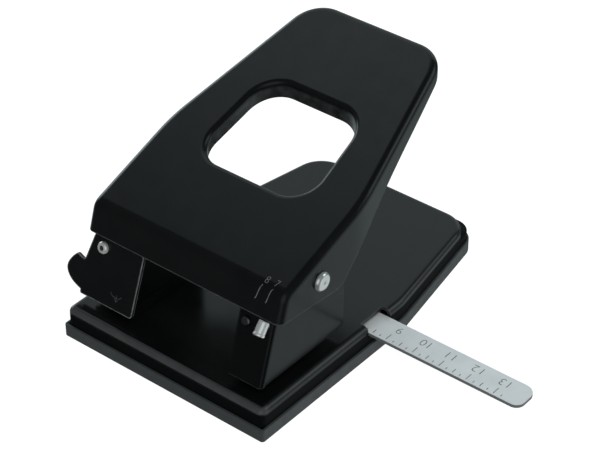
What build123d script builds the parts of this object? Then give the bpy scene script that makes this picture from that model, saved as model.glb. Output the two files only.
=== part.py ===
from build123d import *
import math
import os

# Two-hole desk punch, millimetres.
# +X right (paper gauge side), +Y towards the handle's free end, +Z up.
# Origin: middle of the base's footprint on the table top.

# ---------------------------------------------------------------- dimensions
HOLE_PITCH = 70.0          # distance between the two punched holes
PIN_D = 7.1                # punch pin diameter
EDGE_MARGIN = 12.0         # hole centre to paper edge

TRAY_W = 102.5             # chip tray width at the front
TRAY_W_REAR = 80.6         # chip tray width at the rear edge
TRAY_L = 150.6             # chip tray length
TRAY_KINK_Y = 12.4         # where the sides start to taper
TRAY_BOTTOM = 0.1
TRAY_RIM = 5.8
TRAY_WALL = 0.9
REAR_IN = 1.53             # the deck's rear edge lies this much inside half the nominal length
REAR_OUT = 1.0             # tray and plate step reach this much beyond it
TRAY_FLOOR = 1.8
TRAY_LEDGE = 4.2

PLATE_TOP = 14.15          # table height of the pressed base plate
PLATE_T = 1.5
PLATE_INSET = 1.05         # plate skirt inside the tray rim
PLATE_SKIRT = 4.3
PLATE_STEP = 10.0          # height of the step round the plate's rear
PLATE_SHOULDER = 2.6

THROAT = 4.2               # paper slot between plate and brackets
BR_BOTTOM = PLATE_TOP + THROAT
SHEET = 1.5                # bracket sheet
CHEEK_X = 44.7             # outer face of the cheeks
INNER_X = 27.5             # inner face of the bracket channel
CHEEK_REAR = -18.8
LEAN = 0.319               # front flanges lean back, Y per Z
FRONT_Y0 = -67.9           # front flange face at FRONT_Z0
FRONT_Z0 = 19.1
BR_FRONT_TOP = 50.5
TONGUE_Z = 17.8            # the front flanges reach a little lower than the cheeks

PIVOT_Y = -37.8
PIVOT_Z = 52.9
AXLE_D = 6.0
RUN_CLEAR = 0.05           # radial clearance of running fits

ARM = 13.0                 # pivot to punch pins
PIN_Y = PIVOT_Y + ARM
PIN_X = HOLE_PITCH / 2
PRESS_RISE = 3.4           # presser nose above the pivot at rest
PRESS_R = 3.0
PRESS_GAP = 0.15

H_HALF = 48.6              # handle outer half width at the flanges
H_T = 1.4                  # handle sheet
H_SLOPE = 0.365            # top surface rise per Y
H_TOP0 = 64.7              # top surface height above the pivot
H_END_Y = 60.4
H_END_HALF = 32.8
H_TAPER_Y = -11.4
NOSE_Y = -61.7
NOSE_Z = 45.6
NOSE_LEAN = 0.32

GAUGE_Y0, GAUGE_Y1 = -9.2, 3.7
GAUGE_Z0, GAUGE_Z1 = 9.6, 11.1
GAUGE_X0, GAUGE_X1 = 22.6, 120.4
GAUGE_UNIT = 12.7          # one paper inch on the centred scale

os.makedirs("parts", exist_ok=True)

BETA = math.atan(LEAN)
CB, SB = math.cos(BETA), math.sin(BETA)


# ------------------------------------------------------------------- helpers
def front_y(z):
    return FRONT_Y0 + LEAN * (z - FRONT_Z0)


def poly(points, *radii):
    """Flat face from corner points; radii is a list of (corner index, radius)."""
    face = make_face(Polyline(*points, close=True))
    for idx, r in radii:
        px, py = points[idx]
        v = min(face.vertices(), key=lambda q: (q.X - px) ** 2 + (q.Y - py) ** 2)
        face = fillet(v, r)
    return face


def along_x(face, x0, x1):
    """Face drawn in (Y, Z), extruded from x0 to x1."""
    return extrude(Plane.YZ.offset(x0) * face, amount=x1 - x0)


def along_z(face, z0, z1):
    return extrude(Plane.XY.offset(z0) * face, amount=z1 - z0)


def block(x0, x1, y0, y1, z0, z1):
    return Pos((x0 + x1) / 2, (y0 + y1) / 2, (z0 + z1) / 2) * Box(
        abs(x1 - x0), abs(y1 - y0), abs(z1 - z0))


def cyl_z(x, y, z0, z1, r):
    return Pos(x, y, (z0 + z1) / 2) * Cylinder(r, z1 - z0)


def cyl_x(x0, x1, y, z, r):
    return Pos((x0 + x1) / 2, y, z) * Rot(0, 90, 0) * Cylinder(r, x1 - x0)


def mirror_x(shape):
    return mirror(shape, about=Plane.YZ)


# Leaning plane of the front flanges: local x = X, local y = up along the
# flange, local z = out of the flange towards the front.
LP = Plane(origin=(0, FRONT_Y0, FRONT_Z0), x_dir=(1, 0, 0), z_dir=(0, -CB, SB))


def lean_t(z):
    return (z - FRONT_Z0) / CB


def lean_solid(face, depth0, depth1):
    """Face drawn in (X, t) on the leaning plane, between two depths behind it."""
    return extrude(LP.offset(-depth0) * face, amount=-(depth1 - depth0))


def lean_cyl(x, z, depth0, depth1, r):
    return lean_solid(Pos(x, lean_t(z)) * Circle(r), depth0, depth1)


def base_outline(inset, r_front, r_kink, r_rear, rear_in=0.0):
    half, rear, ln = TRAY_W / 2, TRAY_W_REAR / 2, TRAY_L / 2
    dx, dy = rear - half, ln - TRAY_KINK_Y
    n = math.hypot(dx, dy)
    # tapered side moved inwards by inset
    px, py = half - inset * dy / n, TRAY_KINK_Y + inset * dx / n

    def side_x(y):
        return px + (y - py) * dx / dy

    def side_y(x):
        return py + (x - px) * dy / dx
    h = half - inset
    yk = side_y(h)
    yr = ln - inset - rear_in
    xr = side_x(yr)
    pts = [(-h, -ln + inset), (h, -ln + inset), (h, yk), (xr, yr), (-xr, yr), (-h, yk)]
    return poly(pts, (0, r_front), (1, r_front), (2, r_kink), (3, r_rear),
                (4, r_rear), (5, r_kink))


parts = {}

# ------------------------------------------------------------------ chip tray
tray = along_z(base_outline(0, 1.3, 30, 9.5, -REAR_OUT), TRAY_BOTTOM, TRAY_RIM)
tray = fillet(tray.faces().sort_by(Axis.Z)[0].edges(), 0.25)
tray = fillet(tray.faces().sort_by(Axis.Z)[-1].edges(), 0.35)
tray -= along_z(base_outline(TRAY_WALL, 0.5, 30, 8.1, -REAR_OUT), TRAY_LEDGE, TRAY_RIM + 1)
tray -= along_z(base_outline(TRAY_WALL + 2.8, 2.0, 30, 6.0, -REAR_OUT), TRAY_BOTTOM + TRAY_FLOOR, TRAY_RIM + 1)
# recess for the rubber pad
PAD_INSET = 12.0
tray -= along_z(base_outline(PAD_INSET - 0.1, 3.1, 30, 6.1), TRAY_BOTTOM - 1, TRAY_BOTTOM + 0.7)
# finger notch in the rear rim to pull the tray off
tray -= block(-7, 7, TRAY_L / 2 - TRAY_WALL + REAR_OUT - 0.3, TRAY_L / 2 + 2, TRAY_LEDGE, TRAY_RIM + 1)
parts["chip_tray"] = tray

pad = along_z(base_outline(PAD_INSET, 3.0, 30, 6.0), 0, TRAY_BOTTOM + 0.7)
parts["rubber_pad"] = chamfer(pad.faces().sort_by(Axis.Z)[0].edges(), 0.25)

# ----------------------------------------------------------------- base plate
plate = along_z(base_outline(PLATE_INSET, 2.8, 28, 13.0, REAR_IN), PLATE_SKIRT, PLATE_TOP)
plate = fillet(plate.faces().sort_by(Axis.Z)[-1].edges(), PLATE_SHOULDER)
# lower step that carries the skirt round the rear corners
step = along_z(base_outline(PLATE_INSET + 0.05, 2.8, 28, 8.0, -REAR_OUT), PLATE_SKIRT, PLATE_STEP)
plate += fillet(step.faces().sort_by(Axis.Z)[-1].edges(), 0.6)
hollow = along_z(base_outline(PLATE_INSET + PLATE_T, 1.4, 27, 11.5, REAR_IN), PLATE_SKIRT - 1, PLATE_TOP - PLATE_T)
hollow = fillet(hollow.faces().sort_by(Axis.Z)[-1].edges(), PLATE_SHOULDER - PLATE_T)
plate -= hollow
plate -= along_z(base_outline(PLATE_INSET + 0.05 + PLATE_T, 1.4, 27, 6.5, -REAR_OUT), PLATE_SKIRT - 1, PLATE_STEP - PLATE_T)
DIE_R = 6.0
for s in (-1, 1):
    plate -= cyl_z(s * PIN_X, PIN_Y, PLATE_TOP - 4, PLATE_TOP + 1, DIE_R)
# slot for the paper gauge in the right shoulder
plate -= block(40, 60, GAUGE_Y0 - 0.6, GAUGE_Y1 + 0.6, GAUGE_Z0 - 0.6, GAUGE_Z1 + 0.7)
plate -= block(46.3, 60, GAUGE_Y0 - 0.6, GAUGE_Y1 + 0.6, GAUGE_Z0 - 0.6, PLATE_TOP + 2)
FIX = [(36.4, -56.0), (36.4, -43.5)]
for fx, fy in FIX:
    for s in (-1, 1):
        plate -= cyl_z(s * fx, fy, PLATE_TOP - 4, PLATE_TOP + 1, 2.0)
parts["base_plate"] = plate

for side, s in (("left", -1), ("right", 1)):
    die = cyl_z(s * PIN_X, PIN_Y, PLATE_TOP - 3.6, PLATE_TOP, DIE_R - 0.02)
    die -= cyl_z(s * PIN_X, PIN_Y, PLATE_TOP - 5, PLATE_TOP + 1, PIN_D / 2 + 0.08)
    die -= Pos(s * PIN_X, PIN_Y, PLATE_TOP - 3.0) * Cone(PIN_D / 2 + 1.0, PIN_D / 2 + 0.08, 1.4)
    parts[side + "_die"] = die

# ------------------------------------------------------------------- brackets
FOOT_Y0, FOOT_Y1 = -61.5, PIN_Y - EDGE_MARGIN


def bracket(depth):
    """Right-hand pressed channel: cheek, front flange, inner wall and foot flange."""
    def fy(z):
        return front_y(z) + depth / CB
    b = BR_BOTTOM
    tongue = [(fy(TONGUE_Z), TONGUE_Z), (fy(TONGUE_Z) + 2.0, TONGUE_Z), (fy(TONGUE_Z) + 3.0, b)]
    cheek = poly(tongue + [(CHEEK_REAR, b), (CHEEK_REAR, 47.5), (-30.0, 57.5),
                           (-45.0, 57.5), (fy(BR_FRONT_TOP), BR_FRONT_TOP)],
                 (3, 1.5), (4, 3), (7, 2))
    cheek += Pos(PIVOT_Y, PIVOT_Z) * Circle(8.4)
    wall = poly(tongue + [(CHEEK_REAR, b), (CHEEK_REAR, 43.4), (-30.4, 43.4),
                          (-30.4, 55.5), (-34.0, 59.5), (-41.5, 59.5), (-46.0, 56.0),
                          (fy(BR_FRONT_TOP), BR_FRONT_TOP)], (3, 3), (4, 2), (5, 2), (10, 2))
    mid = (INNER_X + CHEEK_X) / 2
    sides = along_x(cheek, mid, CHEEK_X + 1) + along_x(wall, INNER_X - 1, mid)
    # bent channel with rounded corners, drawn across the leaning direction
    across = Plane(origin=LP.from_local_coords(Vector(0, -20, -depth)), x_dir=(1, 0, 0), z_dir=(0, SB, CB))
    shell = poly([(INNER_X, 0), (CHEEK_X, 0), (CHEEK_X, 90), (INNER_X, 90)], (0, 1.5), (1, 1.9))
    core = poly([(INNER_X + SHEET, SHEET), (CHEEK_X - SHEET, SHEET), (CHEEK_X - SHEET, 95),
                 (INNER_X + SHEET, 95)], (0, 0.2), (1, 0.2))
    out = extrude(across * (shell - core), amount=110) & sides
    out += block(INNER_X + 0.5, CHEEK_X - 0.5, FOOT_Y0, FOOT_Y1 - 0.4, b, b + SHEET)
    out -= cyl_x(INNER_X - 1, CHEEK_X + 1, PIVOT_Y, PIVOT_Z, AXLE_D / 2 + 0.02)
    for fx, fy_ in FIX:
        out -= cyl_z(fx, fy_, b - 1, b + 4, 2.0)
    for gy, gz in GRIV:
        out -= cyl_x(INNER_X - 1, INNER_X + SHEET + 0.5, gy, gz, 1.5)
    return out


GRIV = [(-31.6, 22.0), (-31.6, 34.0)]
right_bracket = bracket(0.0)
LEFT_DEPTH = 3.1
left_bracket = mirror_x(bracket(LEFT_DEPTH))

STUD_X, STUD_Y, STUD_Z = 41.0, -63.1, 42.3
STUD_R, STUD_L = 2.2, 6.0
FR_X, FR_Z = 32.1, 40.15
right_bracket -= lean_cyl(STUD_X, STUD_Z, -1, 2.5, 1.5)
right_bracket -= lean_cyl(FR_X, FR_Z, -1, 2.5, 1.25)
LOCK_X, LOCK_Z = -41.03, 39.69
left_bracket -= lean_cyl(LOCK_X, LOCK_Z, 1, 6, 2.0)
parts["left_bracket"] = left_bracket
parts["right_bracket"] = right_bracket

# spacers under the foot flanges; their rear faces are the paper stops
for side, s in (("left", -1), ("right", 1)):
    sp = block(INNER_X + 0.5, 40.0, FOOT_Y0, FOOT_Y1, PLATE_TOP, BR_BOTTOM)
    sp = fillet(sp.edges().filter_by(Axis.Z), 1.2)
    for fx, fy in FIX:
        sp -= cyl_z(fx, fy, PLATE_TOP - 1, BR_BOTTOM + 1, 2.0)
    parts[side + "_paper_stop"] = sp if s > 0 else mirror_x(sp)

fix = []
for fx, fy in FIX:
    for s in (-1, 1):
        x = s * fx
        r = cyl_z(x, fy, PLATE_TOP - PLATE_T, BR_BOTTOM + SHEET, 1.98)
        top = cyl_z(x, fy, BR_BOTTOM + SHEET, BR_BOTTOM + SHEET + 1.6, 3.4)
        top = fillet(top.faces().sort_by(Axis.Z)[-1].edges(), 1.2)
        bot = cyl_z(x, fy, PLATE_TOP - PLATE_T - 1.4, PLATE_TOP - PLATE_T, 3.4)
        bot = fillet(bot.faces().sort_by(Axis.Z)[0].edges(), 1.0)
        fix.append(r + top + bot)
parts["bracket_rivets"] = Compound(children=fix)

# pin guide blocks
GUIDE_TOP = 37.0
GY0, GY1 = -34.8, CHEEK_REAR - 0.3
griv = []
for side, s in (("left", -1), ("right", 1)):
    g = block(INNER_X + SHEET, CHEEK_X - SHEET, GY0, GY1, BR_BOTTOM, GUIDE_TOP)
    g = fillet(g.edges().filter_by(Axis.X).group_by(Axis.Y)[-1].group_by(Axis.Z)[0], 2.0)
    g -= cyl_z(PIN_X, PIN_Y, BR_BOTTOM - 1, GUIDE_TOP + 1, PIN_D / 2 + RUN_CLEAR)
    for gy, gz in GRIV:
        g -= cyl_x(INNER_X - 1, INNER_X + SHEET + 8, gy, gz, 1.5)
        rv = cyl_x(INNER_X, INNER_X + SHEET + 8, gy, gz, 1.48)
        griv.append(rv if s > 0 else mirror_x(rv))
    parts[side + "_pin_guide"] = g if s > 0 else mirror_x(g)
parts["guide_rivets"] = Compound(children=griv)

# ----------------------------------------------------- punch pins and springs
PIN_TIP = BR_BOTTOM + 0.3
PIN_TOP = PIVOT_Z + PRESS_RISE - PRESS_R - PRESS_GAP
HEAD_H = 2.6
CLIP_T = 0.8
SPRING_Z0, SPRING_Z1 = GUIDE_TOP, PIN_TOP - HEAD_H - CLIP_T
for side, s in (("left", -1), ("right", 1)):
    x = s * PIN_X
    pin = cyl_z(x, PIN_Y, PIN_TIP, PIN_TOP - HEAD_H, PIN_D / 2)
    head = cyl_z(x, PIN_Y, PIN_TOP - HEAD_H, PIN_TOP, 5.0)
    pin += chamfer(head.faces().sort_by(Axis.Z)[-1].edges(), 0.6)
    # hollow-ground cutting end
    pin -= Pos(x, PIN_Y, PIN_TIP - 5.2) * Rot(0, 90, 0) * Cylinder(6.2, 20)
    parts[side + "_punch_pin"] = pin
    seat = cyl_z(x, PIN_Y, PIN_TOP - HEAD_H - CLIP_T, PIN_TOP - HEAD_H, 5.15)
    seat -= cyl_z(x, PIN_Y, PIN_TOP - 8, PIN_TOP, PIN_D / 2 + 0.02)
    parts[side + "_spring_seat"] = seat
    wire = 0.42
    zlo, zhi = SPRING_Z0 + wire + 0.02, SPRING_Z1 - wire - 0.02
    helix = Helix(pitch=(zhi - zlo) / 5.0, height=zhi - zlo, radius=4.45)
    start = Plane(origin=helix @ 0, z_dir=helix % 0)
    coil = sweep(start * Circle(wire), path=helix)
    parts[side + "_return_spring"] = Pos(x, PIN_Y, zlo) * coil

# --------------------------------------------------------------------- axle
DOME_H = 1.8
axle = cyl_x(-H_HALF - 0.2, H_HALF + 0.2, PIVOT_Y, PIVOT_Z, AXLE_D / 2)
for s in (-1, 1):
    x0 = s * (H_HALF + 0.2)
    dome = cyl_x(min(x0, x0 + s * DOME_H), max(x0, x0 + s * DOME_H), PIVOT_Y, PIVOT_Z, 4.0)
    outer = dome.faces().sort_by(Axis.X)[-1 if s > 0 else 0]
    dome = fillet(outer.edges(), DOME_H - 0.2)
    axle += dome
    # small centre dimple from the riveting tool
    axle -= cyl_x(min(x0 + s * (DOME_H - 0.3), x0 + s * 2.6), max(x0 + s * (DOME_H - 0.3), x0 + s * 2.6), PIVOT_Y, PIVOT_Z, 0.7)
parts["pivot_axle"] = axle

washers = []
for s in (-1, 1):
    w = cyl_x(CHEEK_X, CHEEK_X + 2.2, PIVOT_Y, PIVOT_Z, 7.0)
    w -= cyl_x(CHEEK_X - 1, CHEEK_X + 3, PIVOT_Y, PIVOT_Z, AXLE_D / 2 + 0.02)
    washers.append(w if s > 0 else mirror_x(w))
parts["pivot_washers"] = Compound(children=washers)

# ------------------------------------------------------------------- handle


def top_z(y):
    return H_TOP0 + H_SLOPE * (y - PIVOT_Y)


SLOPE_A = math.atan(H_SLOPE)


def handle_blank(offset, crease_r, bend_r):
    """Tall blank of the handle, offset inwards, with rounded creases."""
    o = offset
    oz = o / math.cos(SLOPE_A)
    onose = o * math.hypot(1, NOSE_LEAN)

    def ny(z):
        return NOSE_Y + onose + NOSE_LEAN * (z - NOSE_Z)
    z = 57.0
    for _ in range(40):
        z = top_z(ny(z)) - oz
    side = poly([(ny(0.0), 0.0), (ny(z), z), (90.0, top_z(90.0) - oz), (90.0, 0.0)], (1, bend_r))
    h, e = H_HALF - o, H_END_HALF - o
    ye = H_END_Y - o
    plan = poly([(-h, -100), (h, -100), (h, H_TAPER_Y), (e, ye), (-e, ye), (-h, H_TAPER_Y)],
                (2, 70), (5, 70), (3, 14.5 - o), (4, 14.5 - o))
    body = along_x(side, -60, 60) & along_z(plan, 0, 140)

    def nrm(f):
        return f.normal_at(f.center())
    skin = [f for f in body.faces() if nrm(f).Z > 0.2]
    sides = [f for f in body.faces() if abs(nrm(f).Z) < 0.05]
    mids = [e2 @ 0.5 for f in sides for e2 in f.edges()]
    edges = [ed for f in skin for ed in f.edges()
             if any((m - (ed @ 0.5)).length < 1e-4 for m in mids)]
    return fillet(edges, crease_r)


EDGE_R = 3.0
BEND_R = 6.5
handle = handle_blank(0.0, EDGE_R, BEND_R) - handle_blank(H_T, EDGE_R - H_T, BEND_R - H_T)
# lower edge of nose and flanges
low_pts = [(-28.4, 42.85), (-23.6, 43.95)]
low_line = [
    Line((-110, NOSE_Z), (-61.0, NOSE_Z)),
    Line((-61.0, NOSE_Z), low_pts[0]),
    Line(low_pts[0], low_pts[1]),
    Spline(low_pts[1], (-18.8, 49.3), (-13.7, 54.2), (-8.4, 59.0), (-1.3, 64.1), (6.1, 68.6),
           (15.4, 73.5), (25.5, 78.3), (35.8, 83.0), (45.8, 87.8), (51.0, 90.3)),
    Line((51.0, 90.3), (90.0, 105.2)),
    Line((90.0, 105.2), (90.0, -10)),
    Line((90.0, -10), (-110, -10)),
    Line((-110, -10), (-110, NOSE_Z)),
]
low_face = make_face(low_line)
for (px, py), r in ((low_pts[0], 7.0), (low_pts[1], 6.0)):
    v = min(low_face.vertices(), key=lambda q: (q.X - px) ** 2 + (q.Y - py) ** 2)
    low_face = fillet(v, r)
handle -= along_x(low_face, -70, 70)

# window with a rolled-down rim
WIN_FRONT, WIN_REAR = 29.2, 25.6    # outer half widths of the rim
WIN_Y0, WIN_Y1 = -23.3, 22.2
COLLAR = 7.4                        # depth of the rolled rim


def window_face(grow):
    g = grow
    pts = [(-WIN_FRONT - g, WIN_Y0 - g), (WIN_FRONT + g, WIN_Y0 - g), (WIN_REAR + g, WIN_Y1 + g), (-WIN_REAR - g, WIN_Y1 + g)]
    return poly(pts, (0, 13.0 + g), (1, 13.0 + g), (2, 14.5 + g), (3, 14.5 + g))


slab = along_x(make_face(Polyline((-60, top_z(-60) - 0.2), (70, top_z(70) - 0.2),
                                  (70, top_z(70) - COLLAR), (-60, top_z(-60) - COLLAR), close=True)), -60, 60)
collar = along_z(window_face(0.0), 40, 120) & slab
handle = handle + collar
handle -= along_z(window_face(-H_T), 30, 130)
rim = [e for e in handle.edges() if abs((e @ 0.5).Z - top_z((e @ 0.5).Y)) < 0.05
       and abs((e @ 0.5).X) < 29 and -24 < (e @ 0.5).Y < 25]
handle = fillet(rim, 2.0)
handle -= cyl_x(-60, 60, PIVOT_Y, PIVOT_Z, AXLE_D / 2 + RUN_CLEAR)
parts["handle"] = handle

# presser bar inside the handle, pushes both pins
pz = PIVOT_Z + PRESS_RISE
bar = poly([(PIN_Y - PRESS_R, pz), (PIN_Y + PRESS_R, pz),
            (PIN_Y + PRESS_R, top_z(PIN_Y + PRESS_R) - H_T / math.cos(SLOPE_A)),
            (PIN_Y - PRESS_R, top_z(PIN_Y - PRESS_R) - H_T / math.cos(SLOPE_A))])
bar += Pos(PIN_Y, pz) * Circle(PRESS_R)
presser = along_x(bar, -42.4, 42.4)
# clearance above for the window's rim
presser -= along_x(make_face(Polyline((-26.0, 40), (-15, 40), (-15, 90), (-26.0, 90), close=True)), -34, 34) \
    - along_x(make_face(Polyline((-40, pz - 10), (0, pz - 10), (0, pz + 5.0), (-40, pz + 5.0), close=True)), -34, 34)
parts["presser_bar"] = presser

# lock catch: hook hanging inside the nose, above the lever's corner when pressed
CATCH_X0, CATCH_X1 = -26.6, -22.4
cy1 = -52.2
under = top_z(cy1) - H_T / math.cos(SLOPE_A)
under0 = top_z(cy1 - 1.6) - H_T / math.cos(SLOPE_A)
catch = along_x(make_face(Polyline((cy1 - 1.6, under0), (cy1, under), (cy1, 42.2), (cy1 - 4.0, 42.2),
                                   (cy1 - 4.0, 44.2), (cy1 - 1.6, 45.0), close=True)), CATCH_X0, CATCH_X1)
parts["lock_catch"] = catch

# ----------------------------------------------------------------- lock lever
LEV_D0, LEV_D1 = 1.0, 2.45


def lz(x, z):
    return (x, lean_t(z))


LV = {"tl": (-46.3, 43.9), "tr": (-21.0, 43.9), "br": (-22.0, 17.8), "bl": (-49.1, 17.8)}
lever_line = [
    Line(lz(*LV["tl"]), lz(*LV["tr"])),
    Line(lz(*LV["tr"]), lz(*LV["br"])),
    Line(lz(*LV["br"]), lz(*LV["bl"])),
    Line(lz(*LV["bl"]), lz(-49.3, 19.4)),
    Spline(lz(-49.3, 19.4), lz(-51.9, 20.2), lz(-55.5, 22.1), lz(-57.7, 25.4), lz(-56.3, 29.6), lz(-53.8, 32.5)),
    Spline(lz(-53.8, 32.5), lz(-51.9, 32.1), lz(-49.9, 31.7), lz(-49.1, 32.9)),
    Line(lz(-49.1, 32.9), lz(*LV["tl"])),
]
lever_face = make_face(lever_line)
for key, r in (("tl", 1.5), ("tr", 1.6), ("br", 1.2), ("bl", 0.7)):
    px, pz_ = lz(*LV[key])
    v = min(lever_face.vertices(), key=lambda q: (q.X - px) ** 2 + (q.Y - pz_) ** 2)
    lever_face = fillet(v, r)
lever = lean_solid(lever_face, LEV_D0, LEV_D1)
lever -= lean_cyl(LOCK_X, LOCK_Z, -1, 3, 2.0 + RUN_CLEAR)
parts["lock_lever"] = lever

lock_rivet = lean_cyl(LOCK_X, LOCK_Z, LEV_D0 - 0.15, LEFT_DEPTH + SHEET + 0.6, 1.98)
lr_head = lean_cyl(LOCK_X, LOCK_Z, LEV_D0 - 1.7, LEV_D0 - 0.15, 2.6)
lr_head = fillet(sorted(lr_head.edges(), key=lambda e: (e @ 0).Y)[0], 1.3)
parts["lock_rivet"] = lock_rivet + lr_head
lw = lean_cyl(LOCK_X, LOCK_Z, LEV_D1 + 0.1, LEFT_DEPTH, 3.3)
lw -= lean_cyl(LOCK_X, LOCK_Z, 0, 5, 2.0)
parts["lock_washer"] = lw

# ---------------------------------------------------- handle rest stop (right)
# thick pin, tilted so that its end faces the nose's lower edge
stud_dir = Vector(0, 0.62, 0.78).normalized()
stud_mid = Vector(STUD_X, STUD_Y, STUD_Z)


def stud_piece(r, a, b):
    return Plane(origin=stud_mid + stud_dir * ((a + b) / 2), x_dir=(1, 0, 0), z_dir=stud_dir) * Cylinder(r, b - a)


stud = fillet(stud_piece(STUD_R, -STUD_L / 2, STUD_L / 2).edges().filter_by(GeomType.CIRCLE), 0.4)
stud += fillet(stud_piece(STUD_R + 0.18, -STUD_L / 2, -STUD_L / 2 + 1.1).edges().filter_by(GeomType.CIRCLE), 0.3)
# seated flat on the flange
stud -= lean_solid(Pos(STUD_X, lean_t(STUD_Z)) * Rectangle(20, 30), 0, 12)
stud += lean_cyl(STUD_X, STUD_Z, -2.0, 2.7 + 0.4, 1.48)
parts["stop_stud"] = stud
back = lean_solid(poly([(30.2, lean_t(36.5)), (42.7, lean_t(36.5)), (42.7, lean_t(45.0)), (30.2, lean_t(45.0))],
                       (0, 1.2), (1, 1.2), (2, 1.2), (3, 1.2)), SHEET, SHEET + 1.2)
back -= lean_cyl(STUD_X, STUD_Z, -5, 6, 1.5)
back -= lean_cyl(FR_X, FR_Z, -5, 6, 1.25)
parts["stud_backing_plate"] = back
fr = lean_cyl(FR_X, FR_Z, 0, SHEET + 1.2, 1.23)
frh = lean_cyl(FR_X, FR_Z, -1.1, 0, 2.1)
frh = fillet(sorted(frh.edges(), key=lambda e: (e @ 0).Y)[0], 0.95)
frt = lean_cyl(FR_X, FR_Z, SHEET + 1.2, SHEET + 1.9, 1.9)
parts["flange_rivet"] = fr + frh + frt

# ---------------------------------------------------------------- paper gauge
gw = GAUGE_Y1 - GAUGE_Y0
gauge_face = poly([(GAUGE_X0, GAUGE_Y0), (GAUGE_X1, GAUGE_Y0), (GAUGE_X1, GAUGE_Y1), (GAUGE_X0, GAUGE_Y1)],
                  (0, 1.0), (1, 3.8), (2, 5.0), (3, 1.0))
gauge = along_z(gauge_face, GAUGE_Z0, GAUGE_Z1)
gauge = fillet(gauge.faces().sort_by(Axis.Z)[-1].edges(), 0.25)
# engraved scale: long, half and quarter marks from the near edge
for q in range(-8, 19):
    x = 57.4 + q * GAUGE_UNIT / 4
    length = 3.65 if q % 4 == 0 else (2.4 if q % 2 == 0 else 1.2)
    if x > GAUGE_X1 - 8 or x < GAUGE_X0 + 3:
        continue
    gauge -= block(x - 0.16, x + 0.16, GAUGE_Y0 + 1.0, GAUGE_Y0 + 1.0 + length, GAUGE_Z1 - 0.2, GAUGE_Z1 + 0.2)
parts["paper_gauge"] = gauge

UNDER = PLATE_TOP - PLATE_T
guide = block(-42, 44, GAUGE_Y0 - 1.6, GAUGE_Y1 + 1.6, GAUGE_Z0 - 1.5, UNDER)
guide -= block(-50, 50, GAUGE_Y0 - 0.35, GAUGE_Y1 + 0.35, GAUGE_Z0 - 0.3, UNDER + 1)
parts["gauge_guide"] = guide

# bowed leaf spring between plate and gauge
arc = make_face([ThreePointArc((24, UNDER), (34, GAUGE_Z1 + 0.35), (44, UNDER)),
                 Line((44, UNDER), (43.4, UNDER)),
                 ThreePointArc((43.4, UNDER), (34, GAUGE_Z1 + 0.65), (24.6, UNDER)),
                 Line((24.6, UNDER), (24, UNDER))])
leaf = extrude(Plane.XZ.offset(-(GAUGE_Y1 - 4.0)) * arc, amount=6.0)
parts["gauge_spring"] = leaf

for name, shape in parts.items():
    export_step(shape if isinstance(shape, Compound) else Part(children=[shape]) if not isinstance(shape, Part) else shape,
                f"parts/{name}.step")
    print(name, round(shape.volume, 1))
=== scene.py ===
import math

import bmesh
import bpy
from mathutils import Matrix, Vector
from mathutils.bvhtree import BVHTree


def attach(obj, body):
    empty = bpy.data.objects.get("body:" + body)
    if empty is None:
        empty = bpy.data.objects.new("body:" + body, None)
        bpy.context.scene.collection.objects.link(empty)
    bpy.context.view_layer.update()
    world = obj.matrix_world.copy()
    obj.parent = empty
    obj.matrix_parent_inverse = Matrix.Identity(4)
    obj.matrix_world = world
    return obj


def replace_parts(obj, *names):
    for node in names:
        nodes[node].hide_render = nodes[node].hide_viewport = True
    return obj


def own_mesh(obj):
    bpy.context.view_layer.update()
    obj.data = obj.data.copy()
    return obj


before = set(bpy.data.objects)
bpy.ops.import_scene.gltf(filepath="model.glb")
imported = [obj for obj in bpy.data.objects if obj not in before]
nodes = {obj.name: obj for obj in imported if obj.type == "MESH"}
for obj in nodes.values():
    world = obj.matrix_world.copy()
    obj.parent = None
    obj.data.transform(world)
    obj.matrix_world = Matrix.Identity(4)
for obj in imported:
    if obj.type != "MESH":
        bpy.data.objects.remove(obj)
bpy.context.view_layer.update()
scene = bpy.context.scene
MM = 0.001


# ------------------------------------------------------------------ materials
def new_material(name):
    m = bpy.data.materials.new(name)
    m.use_nodes = True
    nt = m.node_tree
    nt.nodes.clear()
    out = nt.nodes.new("ShaderNodeOutputMaterial")
    bsdf = nt.nodes.new("ShaderNodeBsdfPrincipled")
    nt.links.new(bsdf.outputs[0], out.inputs[0])
    return m, nt, bsdf


def coords(nt, scale=(1, 1, 1)):
    tc = nt.nodes.new("ShaderNodeTexCoord")
    mp = nt.nodes.new("ShaderNodeMapping")
    mp.inputs["Scale"].default_value = scale
    nt.links.new(tc.outputs["Object"], mp.inputs["Vector"])
    return mp.outputs["Vector"]


def noise(nt, vec, scale, detail=3.0, rough=0.55):
    n = nt.nodes.new("ShaderNodeTexNoise")
    n.inputs["Scale"].default_value = scale
    n.inputs["Detail"].default_value = detail
    n.inputs["Roughness"].default_value = rough
    nt.links.new(vec, n.inputs["Vector"])
    return n.outputs["Fac"]


def ramp(nt, fac, lo, hi, p0=0.3, p1=0.7):
    r = nt.nodes.new("ShaderNodeValToRGB")
    r.color_ramp.elements[0].position = p0
    r.color_ramp.elements[1].position = p1
    r.color_ramp.elements[0].color = (*lo, 1)
    r.color_ramp.elements[1].color = (*hi, 1)
    nt.links.new(fac, r.inputs["Fac"])
    return r.outputs["Color"]


def remap(nt, fac, lo, hi, f0=0.3, f1=0.7, smooth=False):
    r = nt.nodes.new("ShaderNodeMapRange")
    if smooth:
        r.interpolation_type = "SMOOTHSTEP"
    r.inputs["From Min"].default_value = f0
    r.inputs["From Max"].default_value = f1
    r.inputs["To Min"].default_value = lo
    r.inputs["To Max"].default_value = hi
    nt.links.new(fac, r.inputs["Value"])
    return r.outputs["Result"]


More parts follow.
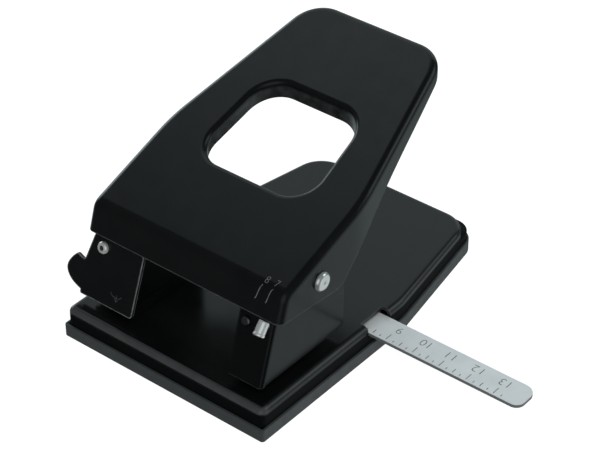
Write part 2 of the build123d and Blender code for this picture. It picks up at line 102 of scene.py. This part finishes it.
def math_node(nt, op, a, b):
    n = nt.nodes.new("ShaderNodeMath")
    n.operation = op
    for i, s in enumerate((a, b)):
        if isinstance(s, (int, float)):
            n.inputs[i].default_value = s
        else:
            nt.links.new(s, n.inputs[i])
    return n.outputs[0]


def mix_color(nt, fac, a, b):
    n = nt.nodes.new("ShaderNodeMix")
    n.data_type = "RGBA"
    nt.links.new(fac, n.inputs["Factor"])
    for sock, s in ((n.inputs[6], a), (n.inputs[7], b)):
        if isinstance(s, tuple):
            sock.default_value = (*s, 1)
        else:
            nt.links.new(s, sock)
    return n.outputs[2]


def bump(nt, height, strength, distance, bevel=0.0):
    b = nt.nodes.new("ShaderNodeBump")
    b.inputs["Strength"].default_value = strength
    b.inputs["Distance"].default_value = distance
    nt.links.new(height, b.inputs["Height"])
    if bevel:
        bv = nt.nodes.new("ShaderNodeBevel")
        bv.samples = 6
        bv.inputs["Radius"].default_value = bevel
        nt.links.new(bv.outputs["Normal"], b.inputs["Normal"])
    return b.outputs["Normal"]


def edge_mask(nt, radius, lo, hi):
    """1 close to sharp edges, 0 on open faces: turn of the rounded normal."""
    bv = nt.nodes.new("ShaderNodeBevel")
    bv.samples = 8
    bv.inputs["Radius"].default_value = radius
    geo = nt.nodes.new("ShaderNodeNewGeometry")
    dot = nt.nodes.new("ShaderNodeVectorMath")
    dot.operation = "DOT_PRODUCT"
    nt.links.new(bv.outputs["Normal"], dot.inputs[0])
    nt.links.new(geo.outputs["Normal"], dot.inputs[1])
    return remap(nt, dot.outputs["Value"], 1.0, 0.0, lo, hi)


def height_mask(nt, z0, z1, z2, z3):
    """1 between heights z1 and z2 (metres), fading out to z0 and z3."""
    tc = nt.nodes.new("ShaderNodeTexCoord")
    sep = nt.nodes.new("ShaderNodeSeparateXYZ")
    nt.links.new(tc.outputs["Object"], sep.inputs[0])
    up = remap(nt, sep.outputs["Z"], 0.0, 1.0, z0, z1)
    down = remap(nt, sep.outputs["Z"], 1.0, 0.0, z2, z3)
    return math_node(nt, "MULTIPLY", up, down)


BLACK_LO, BLACK_HI = (0.0030, 0.0032, 0.0034), (0.0046, 0.0049, 0.0051)


def enamel(name, r0, r1, bevel, edge=(0.085, 0.088, 0.090), edge_r=0.0011, band=None, window=None, shade_tone=1.0):
    """Stoved gloss enamel: faint flow in the colour, orange peel, edges lightened as wear and as painted edge
    highlights.
    """
    m, nt, p = new_material(name)
    v = coords(nt)
    col = ramp(nt, noise(nt, v, 60, 3), tuple(shade_tone * c for c in BLACK_LO), tuple(shade_tone * c for c in BLACK_HI))
    # sharp edges lightened: partly wear, partly a painted edge highlight
    edge_wear_highlight = math_node(nt, "MULTIPLY", edge_mask(nt, edge_r, 0.78, 0.965), remap(nt, noise(nt, v, 420, 4), 0.45, 1.0))
    col = mix_color(nt, edge_wear_highlight, col, edge)
    rough = remap(nt, noise(nt, v, 140, 4), r0, r1)
    if band or window:
        tc = nt.nodes.new("ShaderNodeTexCoord")
        sep = nt.nodes.new("ShaderNodeSeparateXYZ")
        nt.links.new(tc.outputs["Object"], sep.inputs[0])
    if band:
        # shoulder of the plate: a painted highlight band, strongest along the front
        z, colour, low = band
        shoulder_highlight = math_node(nt, "MULTIPLY", height_mask(nt, *z), remap(nt, noise(nt, v, 160, 4), 0.75, 1.0))
        shoulder_highlight = math_node(nt, "MULTIPLY", shoulder_highlight, remap(nt, sep.outputs["Y"], 1.0, 0.3, -0.0715, -0.0690))
        col = mix_color(nt, shoulder_highlight, col, colour)
        # the skirt below the shoulder is painted darker as painted shade, and made rougher
        dull_skirt_shade = remap(nt, sep.outputs["Z"], 1.0, 0.0, low[0], low[1])
        col = mix_color(nt, dull_skirt_shade, col, (0.0006, 0.0006, 0.0007))
        rough = math_node(nt, "MAXIMUM", rough, math_node(nt, "MULTIPLY", dull_skirt_shade, 0.85))
    if window:
        # inner wall of the window's rolled rim, lightened in streaks: a painted reflection
        rise, foot, half, y0, y1, colour = window
        skin = math_node(nt, "ADD", math_node(nt, "MULTIPLY", sep.outputs["Y"], rise), foot)
        depth = math_node(nt, "SUBTRACT", skin, sep.outputs["Z"])
        wall_reflection = remap(nt, depth, 0.0, 1.0, 0.0016, 0.0030)
        wall_reflection = math_node(nt, "MULTIPLY", wall_reflection, remap(nt, math_node(nt, "ABSOLUTE", sep.outputs["X"], 0.0), 1.0, 0.0, half, half + 0.0005))
        wall_reflection = math_node(nt, "MULTIPLY", wall_reflection, remap(nt, sep.outputs["Y"], 0.0, 1.0, y0 - 0.0005, y0))
        wall_reflection = math_node(nt, "MULTIPLY", wall_reflection, remap(nt, sep.outputs["Y"], 1.0, 0.0, y1, y1 + 0.0005))
        wall_reflection = math_node(nt, "MULTIPLY", wall_reflection, remap(nt, noise(nt, v, 240, 4), 0.25, 1.0))
        col = mix_color(nt, wall_reflection, col, colour)
    nt.links.new(col, p.inputs["Base Color"])
    nt.links.new(rough, p.inputs["Roughness"])
    nt.links.new(bump(nt, noise(nt, v, 900, 2), 0.05, 0.0002, bevel), p.inputs["Normal"])
    p.inputs["IOR"].default_value = 1.5
    p.inputs["Specular IOR Level"].default_value = 0.35
    return m


def metal(name, lo, hi, r0, r1, grain, bump_s=0.05, bevel=0.0003, metallic=1.0):
    m, nt, p = new_material(name)
    v = coords(nt, grain)
    n = noise(nt, v, 700, 4, 0.6)
    nt.links.new(ramp(nt, noise(nt, coords(nt), 90, 3), lo, hi), p.inputs["Base Color"])
    nt.links.new(remap(nt, n, r0, r1), p.inputs["Roughness"])
    nt.links.new(bump(nt, n, bump_s, 0.0002, bevel), p.inputs["Normal"])
    p.inputs["Metallic"].default_value = metallic
    return m


M = {}
# the window option lightens the window's inner wall as a painted reflection
M["enamel_handle"] = enamel("enamel_handle", 0.20, 0.27, 0.0004, window=(0.365, 0.0785, 0.0290, -0.0232, 0.0222, (0.040, 0.042, 0.043)))
# the band paints a highlight on the plate's shoulder and painted shade on the skirt below it
M["enamel_base"] = enamel("enamel_base", 0.16, 0.22, 0.0003, band=((0.0114, 0.0121, 0.01385, 0.01412), (0.056, 0.058, 0.060), (0.0108, 0.0116)))
# darker copy of the enamel with dimmer edges: painted shade for the brackets, paper stops and guide rivets
M["enamel_shaded_bracket"] = enamel("enamel_shaded_bracket", 0.18, 0.25, 0.0003, edge=(0.045, 0.047, 0.048), edge_r=0.0008, shade_tone=0.35)
# strongly lightened lever edges: a painted edge highlight, partly wear
M["enamel_lever"] = enamel("enamel_lever", 0.18, 0.25, 0.0003, edge=(0.28, 0.287, 0.292), edge_r=0.0013)
M["nickel"] = metal("nickel", (0.80, 0.80, 0.79), (0.90, 0.90, 0.89), 0.14, 0.26, (1, 1, 1), metallic=0.66)
M["nickel_dome"] = metal("nickel_dome", (0.78, 0.78, 0.77), (0.88, 0.88, 0.87), 0.10, 0.18, (1, 1, 1), metallic=0.82)
M["plain_steel"] = metal("plain_steel", (0.36, 0.36, 0.35), (0.50, 0.50, 0.49), 0.25, 0.40, (1, 1, 6))
M["dark_steel"] = metal("dark_steel", (0.12, 0.12, 0.124), (0.20, 0.20, 0.204), 0.28, 0.42, (1, 1, 1))
M["gauge_metal"] = metal("gauge_metal", (0.83, 0.85, 0.855), (0.90, 0.92, 0.925), 0.38, 0.50, (0.15, 3, 1), 0.04, 0.0002, 0.30)
M["lock_rivet"] = metal("lock_rivet", (0.80, 0.80, 0.79), (0.90, 0.90, 0.89), 0.14, 0.26, (1, 1, 1), metallic=0.66)

m, nt, p = new_material("tray_plastic")
v = coords(nt)
# light line along the tray's top edge: a painted highlight
rim = math_node(nt, "MULTIPLY", edge_mask(nt, 0.0006, 0.80, 0.97), height_mask(nt, 0.0047, 0.0052, 0.0070, 0.0075))
col = ramp(nt, noise(nt, v, 120, 4), (0.038, 0.042, 0.044), (0.047, 0.051, 0.053))
nt.links.new(mix_color(nt, rim, col, (0.115, 0.120, 0.122)), p.inputs["Base Color"])
nt.links.new(remap(nt, noise(nt, v, 300, 3), 0.42, 0.55), p.inputs["Roughness"])
nt.links.new(bump(nt, noise(nt, v, 2600, 2), 0.12, 0.0002, 0.0003), p.inputs["Normal"])
p.inputs["Specular IOR Level"].default_value = 0.4
M["tray_plastic"] = m

m, nt, p = new_material("foot_rubber")
v = coords(nt)
nt.links.new(ramp(nt, noise(nt, v, 200, 4), (0.012, 0.012, 0.012), (0.026, 0.026, 0.026)), p.inputs["Base Color"])
nt.links.new(remap(nt, noise(nt, v, 500, 3), 0.7, 0.9), p.inputs["Roughness"])
nt.links.new(bump(nt, noise(nt, v, 1500, 3), 0.2, 0.0003), p.inputs["Normal"])
M["foot_rubber"] = m


def paint(name, lo, hi):
    m, nt, p = new_material(name)
    v = coords(nt)
    nt.links.new(ramp(nt, noise(nt, v, 900, 3), lo, hi), p.inputs["Base Color"])
    nt.links.new(remap(nt, noise(nt, v, 500, 3), 0.5, 0.7), p.inputs["Roughness"])
    nt.links.new(bump(nt, noise(nt, v, 2500, 2), 0.1, 0.0001), p.inputs["Normal"])
    return m


M["scale_fill"] = paint("scale_fill", (0.10, 0.103, 0.104), (0.20, 0.205, 0.206))
M["lever_sign"] = paint("lever_sign", (0.03, 0.031, 0.032), (0.09, 0.093, 0.095))
M["index_mark"] = paint("index_mark", (0.075, 0.078, 0.080), (0.16, 0.165, 0.168))


def darken(mat, mask, colour):
    """Mix a darker colour, painted shade, into a material where the mask is 1."""
    nt = mat.node_tree
    p = next(n for n in nt.nodes if n.type == "BSDF_PRINCIPLED")
    old = p.inputs["Base Color"].links[0].from_socket
    nt.links.new(mix_color(nt, mask(nt), old, colour), p.inputs["Base Color"])


def shaded_sides(nt):
    """1 on the upright sides of a flat strip, which get painted shade."""
    geo = nt.nodes.new("ShaderNodeNewGeometry")
    sep = nt.nodes.new("ShaderNodeSeparateXYZ")
    nt.links.new(geo.outputs["Normal"], sep.inputs[0])
    return remap(nt, sep.outputs["Z"], 1.0, 0.0, 0.15, 0.75)


def hollow_shade(nt):
    """1 in the hollow end of the lever's rivet, which gets painted shade."""
    tc = nt.nodes.new("ShaderNodeTexCoord")
    off = nt.nodes.new("ShaderNodeVectorMath")
    off.operation = "SUBTRACT"
    off.inputs[1].default_value = (-0.04103, -0.0625, 0.04006)
    nt.links.new(tc.outputs["Object"], off.inputs[0])
    cross = nt.nodes.new("ShaderNodeVectorMath")
    cross.operation = "CROSS_PRODUCT"
    cross.inputs[1].default_value = (0, -0.95270, 0.30391)
    nt.links.new(off.outputs[0], cross.inputs[0])
    dist = nt.nodes.new("ShaderNodeVectorMath")
    dist.operation = "LENGTH"
    nt.links.new(cross.outputs[0], dist.inputs[0])
    return remap(nt, dist.outputs["Value"], 1.0, 0.0, 0.0009, 0.0011)


# painted shade on the upright sides of the gauge
darken(M["gauge_metal"], shaded_sides, (0.16, 0.165, 0.168))
# painted shade in the hollow end of the lock rivet
darken(M["lock_rivet"], hollow_shade, (0.09, 0.09, 0.092))

LOOK = {
    "handle": "enamel_handle", "base_plate": "enamel_base",
    "left_bracket": "enamel_shaded_bracket", "right_bracket": "enamel_shaded_bracket",
    "lock_lever": "enamel_lever", "left_paper_stop": "enamel_shaded_bracket", "right_paper_stop": "enamel_shaded_bracket",
    "guide_rivets": "enamel_shaded_bracket",
    "chip_tray": "tray_plastic", "rubber_pad": "foot_rubber", "paper_gauge": "gauge_metal",
    "pivot_axle": "nickel_dome", "lock_rivet": "lock_rivet", "stop_stud": "nickel", "flange_rivet": "dark_steel",
}
for name, ob in nodes.items():
    ob.data.materials.clear()
    ob.data.materials.append(M[LOOK.get(name, "plain_steel")])


# ----------------------------------------------------------------- mesh pieces
def piece(name, bm, material, body, smooth=False):
    mesh = bpy.data.meshes.new(name)
    bmesh.ops.recalc_face_normals(bm, faces=bm.faces)
    bm.to_mesh(mesh)
    bm.free()
    if smooth:
        mesh.polygons.foreach_set("use_smooth", [True] * len(mesh.polygons))
    ob = bpy.data.objects.new(name, mesh)
    scene.collection.objects.link(ob)
    ob.data.materials.append(M[material])
    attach(ob, body)
    return ob


def text_mesh(body, size, thin):
    """Flat outline of some digits, centred, as a bmesh in its own plane."""
    cu = bpy.data.curves.new("digits", "FONT")
    cu.body = body
    cu.size = size
    cu.align_x, cu.align_y = "CENTER", "CENTER"
    cu.offset = -thin
    cu.resolution_u = 6
    ob = bpy.data.objects.new("digits", cu)
    scene.collection.objects.link(ob)
    dg = bpy.context.evaluated_depsgraph_get()
    mesh = bpy.data.meshes.new_from_object(ob.evaluated_get(dg))
    bm = bmesh.new()
    bm.from_mesh(mesh)
    bpy.data.objects.remove(ob)
    bpy.data.curves.remove(cu)
    bpy.data.meshes.remove(mesh)
    bmesh.ops.remove_doubles(bm, verts=bm.verts, dist=1e-6)
    return bm


def thicken(bm, height):
    """Closed plate from a flat outline: the outline on top, a copy below, walls between."""
    faces = list(bm.faces)
    ext = bmesh.ops.extrude_face_region(bm, geom=faces)
    for g in ext["geom"]:
        if isinstance(g, bmesh.types.BMVert):
            g.co.z += height


def join(target, source, matrix):
    mesh = bpy.data.meshes.new("tmp")
    source.transform(matrix)
    source.to_mesh(mesh)
    source.free()
    target.from_mesh(mesh)
    bpy.data.meshes.remove(mesh)


def box(bm, x0, x1, y0, y1, z0, z1):
    vs = [bm.verts.new((x * MM, y * MM, z * MM)) for z in (z0, z1) for x, y in ((x0, y0), (x1, y0), (x1, y1), (x0, y1))]
    for f in ((3, 2, 1, 0), (4, 5, 6, 7), (0, 1, 5, 4), (1, 2, 6, 5), (2, 3, 7, 6), (3, 0, 4, 7)):
        bm.faces.new([vs[i] for i in f])


# scale of the paper gauge: paint in the engraved marks, numerals read from the rear
GAUGE_TOP = 11.1
bm = bmesh.new()
for q in range(-8, 19):
    x = 57.4 + q * 12.7 / 4
    length = 3.65 if q % 4 == 0 else (2.4 if q % 2 == 0 else 1.2)
    if 25.6 < x < 112.4:
        box(bm, x - 0.13, x + 0.13, -8.19, -8.21 + length, GAUGE_TOP - 0.19, GAUGE_TOP - 0.02)
for digit, x in (("9", 58.6), ("0", 70.1), ("1", 72.9), ("1", 81.7), ("1", 84.7), ("2", 94.6), ("1", 97.8), ("3", 107.15), ("1", 110.2)):
    d = text_mesh(digit, 5.7 * MM, 0.10 * MM)
    thicken(d, 0.03 * MM)
    join(bm, d, Matrix.Translation((x * MM, -0.5 * MM, (GAUGE_TOP - 0.01) * MM)) @ Matrix.Rotation(math.pi, 4, "Z"))
piece("gauge_scale", bm, "scale_fill", "gauge")


# index marks on the nose, laid on its surface
handle = nodes["handle"]
tree = BVHTree.FromPolygons([v.co.copy() for v in handle.data.vertices], [tuple(q.vertices) for q in handle.data.polygons])


def lay(bm, matrix, height):
    """Outline in a plane close to the nose, pressed onto it along the plane's normal."""
    bmesh.ops.triangulate(bm, faces=bm.faces)
    for _ in range(2):
        long_edges = [e for e in bm.edges if e.calc_length() > 0.5 * MM]
        if long_edges:
            bmesh.ops.subdivide_edges(bm, edges=long_edges, cuts=1)
            bmesh.ops.triangulate(bm, faces=bm.faces)
    bm.transform(matrix)
    n = (matrix.to_3x3() @ Vector((0, 0, 1))).normalized()
    for v in bm.verts:
        hit, _, _, _ = tree.ray_cast(v.co + n * 6 * MM, -n)
        if hit is not None:
            v.co = hit - n * 0.02 * MM
    faces = list(bm.faces)
    ext = bmesh.ops.extrude_face_region(bm, geom=faces)
    for g in ext["geom"]:
        if isinstance(g, bmesh.types.BMVert):
            g.co += n * height * MM
    return bm


def tangent(origin, right, normal):
    z = Vector(normal).normalized()
    x = Vector(right)
    x = (x - z * x.dot(z)).normalized()
    y = z.cross(x)
    mat = Matrix((x, y, z)).transposed().to_4x4()
    mat.translation = Vector(origin) * MM
    return mat


marks = bmesh.new()
for a, b in (((36.6, -57.92, 57.42), (35.32, -59.81, 51.5)), ((41.4, -57.89, 57.5), (40.27, -59.78, 51.6))):
    a, b = Vector(a), Vector(b)
    line = bmesh.new()
    ln, w = (a - b).length / 2 * MM, 0.17 * MM
    k = 12
    for i in range(k):
        y0, y1 = -ln + 2 * ln * i / k, -ln + 2 * ln * (i + 1) / k
        # both ends curl a little, the upper one to the right
        x0, x1 = (math.copysign(0.25 * MM * max(0.0, abs(y / ln) - 0.6) ** 2 / 0.16, y) for y in (y0, y1))
        vs = [line.verts.new(c) for c in ((x0 - w, y0, 0), (x0 + w, y0, 0), (x1 + w, y1, 0), (x1 - w, y1, 0))]
        line.faces.new(vs)
    bmesh.ops.remove_doubles(line, verts=line.verts, dist=1e-7)
    up = (a - b).normalized()
    normal = Vector((0, -0.952, 0.305))
    mat = tangent((a + b) / 2, up.cross(normal), normal)
    join(marks, lay(line, mat, 0.05), Matrix.Identity(4))
for digit, at in (("8", (37.5, -57.2, 59.9)), ("7", (41.8, -57.4, 60.3))):
    d = text_mesh(digit, 4.0 * MM, 0.06 * MM)
    mat = tangent(at, (1, 0, 0), (0, -0.78, 0.63))
    join(marks, lay(d, mat, 0.05), Matrix.Identity(4))
piece("nose_index_marks", marks, "index_mark", "handle")


# small engraved sign on the lock lever: an arc over a pointer
mark = bmesh.new()


def stroke(bm, pts, w):
    """Flat ribbon along a chain of points (millimetres, in its own plane)."""
    pts = [Vector((x, y, 0)) for x, y in pts]
    left, right_side = [], []
    for i, q in enumerate(pts):
        t = (pts[min(i + 1, len(pts) - 1)] - pts[max(i - 1, 0)]).normalized()
        n = Vector((-t.y, t.x, 0)) * w
        left.append(bm.verts.new((q + n) * MM))
        right_side.append(bm.verts.new((q - n) * MM))
    for i in range(len(pts) - 1):
        bm.faces.new((left[i], right_side[i], right_side[i + 1], left[i + 1]))


stroke(mark, [(2.9 * math.cos(math.radians(a)), 0.9 + 2.0 * math.sin(math.radians(a))) for a in range(195, 346, 10)], 0.11)
stroke(mark, [(0.3, 0.3), (0.3, -2.6)], 0.13)
stroke(mark, [(-0.6, -1.5), (0.3, -2.6), (1.2, -1.6)], 0.11)
thicken(mark, 0.03 * MM)
mark.transform(tangent((-31.1, -65.446, 23.5), (1, 0, 0), (0, -0.95270, 0.30391)) @ Matrix.Translation((0, 0, -0.01 * MM)))
piece("lever_sign", mark, "lever_sign", "lock")


# rivet of the lock lever: tubular, with a turned-over head
profile = [(0.0, -0.15), (0.86, -0.15), (0.98, 0.55), (1.10, 0.70), (1.30, 0.70)]
profile += [(1.3 + 1.3 * math.sin(math.radians(a)), -0.6 + 1.3 * math.cos(math.radians(a))) for a in range(10, 91, 10)]
profile += [(2.6, -0.85), (1.98, -0.85), (1.98, -5.2), (0.0, -5.2)]
bm = bmesh.new()
ring = 48
rows = []
for r, h in profile:
    if r == 0.0:
        rows.append([bm.verts.new((0, 0, h * MM))])
    else:
        rows.append([bm.verts.new((r * math.cos(2 * math.pi * k / ring) * MM, r * math.sin(2 * math.pi * k / ring) * MM, h * MM)) for k in range(ring)])
for a, b in zip(rows, rows[1:]):
    for k in range(ring):
        j = (k + 1) % ring
        if len(a) == 1:
            bm.faces.new((a[0], b[k], b[j]))
        elif len(b) == 1:
            bm.faces.new((a[k], a[j], b[0]))
        else:
            bm.faces.new((a[k], a[j], b[j], b[k]))
bm.transform(tangent((-41.03, -61.332, 39.69), (1, 0, 0), (0, -0.95270, 0.30391)))
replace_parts(piece("lock_tube_rivet", bm, "lock_rivet", "base"), "lock_rivet")


# return springs: ground end turns, open turns between
def spring(side, x):
    y, z0, z1, r, wire = -24.8, 37.0, 49.75, 4.45, 0.42
    lo, hi = z0 + wire + 0.02, z1 - wire - 0.02
    turns, per, ring = 6.6, 28, 10
    bm = bmesh.new()
    rows = []
    count = int(turns * per) + 1
    flat = 0.85
    for i in range(count):
        t = i / per
        if t < flat:
            z = lo + (2 * wire * 0.55) * (t / flat) ** 2
        elif t > turns - flat:
            z = hi - (2 * wire * 0.55) * ((turns - t) / flat) ** 2
        else:
            z = lo + 1.1 * wire + (hi - lo - 2.2 * wire) * (t - flat) / (turns - 2 * flat)
        a = 2 * math.pi * t
        c = Vector((x + r * math.cos(a), y + r * math.sin(a), z))
        out = Vector((math.cos(a), math.sin(a), 0))
        rows.append([bm.verts.new((c + (out * math.cos(2 * math.pi * k / ring) + Vector((0, 0, 1)) * math.sin(2 * math.pi * k / ring)) * wire) * MM)
                     for k in range(ring)])
    for p0, p1 in zip(rows, rows[1:]):
        for k in range(ring):
            bm.faces.new((p0[k], p0[(k + 1) % ring], p1[(k + 1) % ring], p1[k]))
    bm.faces.new(rows[0])
    bm.faces.new(rows[-1])
    ob = piece(side + "_spring_coil", bm, "plain_steel", "base", smooth=True)
    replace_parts(ob, side + "_return_spring")
    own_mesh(ob)


spring("left", -35.0)
spring("right", 35.0)

# ----------------------------------------------------------------------- stage
floor_mesh = bpy.data.meshes.new("floor")
bm = bmesh.new()
R, N = 6.0, 64
vs = [bm.verts.new((R * math.cos(2 * math.pi * i / N), R * math.sin(2 * math.pi * i / N), 0)) for i in range(N)]
bm.faces.new(vs)
bm.to_mesh(floor_mesh)
bm.free()
floor = bpy.data.objects.new("floor", floor_mesh)
scene.collection.objects.link(floor)
m, nt, p = new_material("floor_paper")
v = coords(nt)
nt.links.new(ramp(nt, noise(nt, v, 40, 3), (0.30, 0.30, 0.30), (0.33, 0.33, 0.33)), p.inputs["Base Color"])
p.inputs["Roughness"].default_value = 0.9
p.inputs["Specular IOR Level"].default_value = 0.0
p.inputs["Emission Color"].default_value = (1, 1, 1, 1)
p.inputs["Emission Strength"].default_value = 0.93
floor.data.materials.append(m)
floor.visible_glossy = False

# ------------------------------------------------------------- soft studio light
world = bpy.data.worlds.new("studio")
world.use_nodes = True
nt = world.node_tree
bg = nt.nodes["Background"]
tc = nt.nodes.new("ShaderNodeTexCoord")
sep = nt.nodes.new("ShaderNodeSeparateXYZ")
nt.links.new(tc.outputs["Generated"], sep.inputs[0])
X, Y, Z = sep.outputs["X"], sep.outputs["Y"], sep.outputs["Z"]


def lobe(axis, lo, hi, value):
    a = Vector(axis).normalized()
    dot = nt.nodes.new("ShaderNodeVectorMath")
    dot.operation = "DOT_PRODUCT"
    nt.links.new(tc.outputs["Generated"], dot.inputs[0])
    dot.inputs[1].default_value = a
    return remap(nt, dot.outputs["Value"], 0.0, value, lo, hi, True)


side = math_node(nt, "MAXIMUM", math_node(nt, "ADD", X, 0.36), 0.0)
back = math_node(nt, "SUBTRACT", Y, math_node(nt, "MULTIPLY", side, 2.0))
back = remap(nt, back, 0.0, 0.56, 0.0, 0.25, True)
upper = math_node(nt, "MULTIPLY", back, remap(nt, Z, 0.0, 1.0, -0.06, 0.10, True))
total = upper
for a, lo, hi, value in (
    ((-0.49, 0.29, 0.822), 0.972, 0.997, 0.38),  # left overhead softbox
    ((0.60, 0.66, 0.46), 0.935, 0.985, 1.25),    # right rear softbox
    ((0.60, 0.50, -0.62), 0.68, 0.95, 0.50),     # lit table to the right rear
    ((-0.60, 0.35, -0.60), 0.55, 0.95, 0.45),    # lit table to the left
    ((0.45, -0.80, 0.30), 0.80, 0.97, 0.50),     # front right softbox
    ((-0.93, 0.24, 0.28), 0.93, 0.985, 2.20),    # low window on the left
):
    total = math_node(nt, "ADD", total, lobe(a, lo, hi, value))
total = math_node(nt, "ADD", total, remap(nt, Z, 0.0, 0.09, -0.50, -0.20, True))
nt.links.new(total, bg.inputs["Strength"])
bg.inputs["Color"].default_value = (0.86, 1.0, 1.03, 1)
scene.world = world


def softbox(name, loc, target, size, power):
    light = bpy.data.lights.new(name, "AREA")
    light.shape = "SQUARE"
    light.size = size
    light.energy = power
    ob = bpy.data.objects.new(name, light)
    ob.location = loc
    ob.rotation_euler = (Vector(target) - Vector(loc)).to_track_quat("-Z", "Y").to_euler()
    ob.visible_glossy = False
    scene.collection.objects.link(ob)


softbox("front_fill", (0.60, -0.42, 0.90), (0, 0, 0.03), 0.9, 6.5)

# ---------------------------------------------------------------------- camera
F_PX, W_PX = 2152.06, 600.0
az, el = math.radians(39.104), math.radians(36.011)
dist, tx, ty = 0.84828, -40.028, 26.500
d = Vector((math.sin(az) * math.cos(el), -math.cos(az) * math.cos(el), math.sin(el)))
right = (-d).cross(Vector((0, 0, 1))).normalized()
up = right.cross(-d)
target = Vector((0, 0.060 - 0.0753, 0.030 + 0.0006))
pos = target + dist * d - (tx * dist / F_PX) * right + (ty * dist / F_PX) * up
cam_data = bpy.data.cameras.new("photo_view")
cam_data.sensor_width = 36.0
cam_data.sensor_fit = "HORIZONTAL"
cam_data.lens = F_PX / W_PX * 36.0
cam_data.clip_start, cam_data.clip_end = 0.01, 50
cam = bpy.data.objects.new("photo_view", cam_data)
rot = Matrix((right, up, d)).transposed().to_4x4()
cam.matrix_world = Matrix.Translation(pos) @ rot
scene.collection.objects.link(cam)
scene.camera = cam

scene.view_settings.view_transform = "Standard"
scene.view_settings.look = "None"
